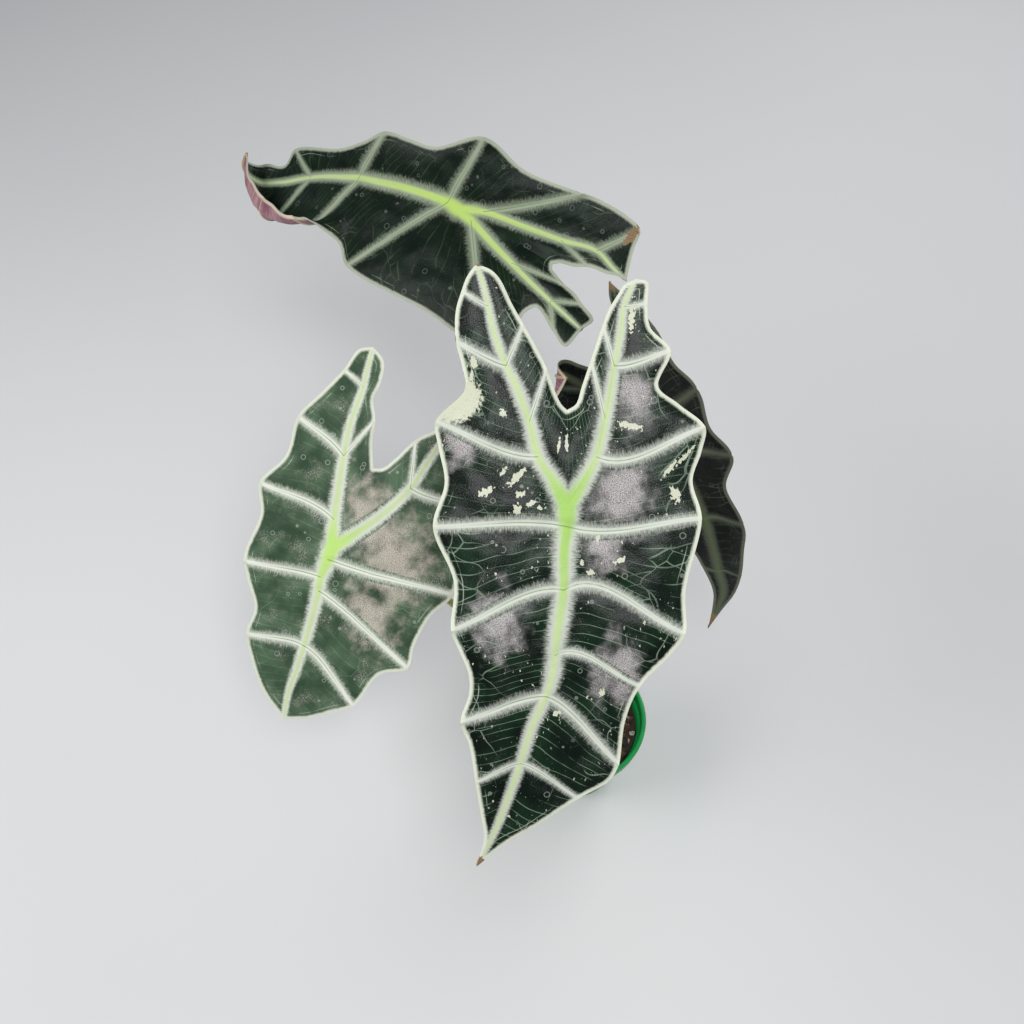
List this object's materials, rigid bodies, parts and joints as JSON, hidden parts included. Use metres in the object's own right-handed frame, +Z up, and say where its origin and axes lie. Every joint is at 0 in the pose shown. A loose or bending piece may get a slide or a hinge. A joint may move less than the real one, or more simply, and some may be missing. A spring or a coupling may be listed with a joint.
{
  "type": "potted polly alocasia",
  "caption": "Polly alocasia house plant with white-veined arrow-shaped leaves on slender stalks in a small green nursery pot.",
  "frame": {"origin": "centre of the pot's flat base", "axes": "+Z up; -Y towards the viewer of the picture, where the tallest blade's tip points; +X to that viewer's right"},
  "size_m": [0.2325, 0.3114, 0.3059],
  "materials": {
    "pot_plastic": "satin",
    "bark_mix": "matte",
    "root_skin": "matte",
    "stalk_skin": "satin",
    "leaf_skin": "gloss"
  },
  "bodies": {
    "root": {"pot": "pot_plastic", "soil": "bark_mix", "rootstock": "root_skin", "stalk_front": "stalk_skin", "blade_front": "leaf_skin", "stalk_left": "stalk_skin", "blade_left": "leaf_skin", "stalk_back": "stalk_skin", "blade_back": "leaf_skin", "stalk_right": "stalk_skin", "blade_right": "leaf_skin"}
  },
  "joints": []
}
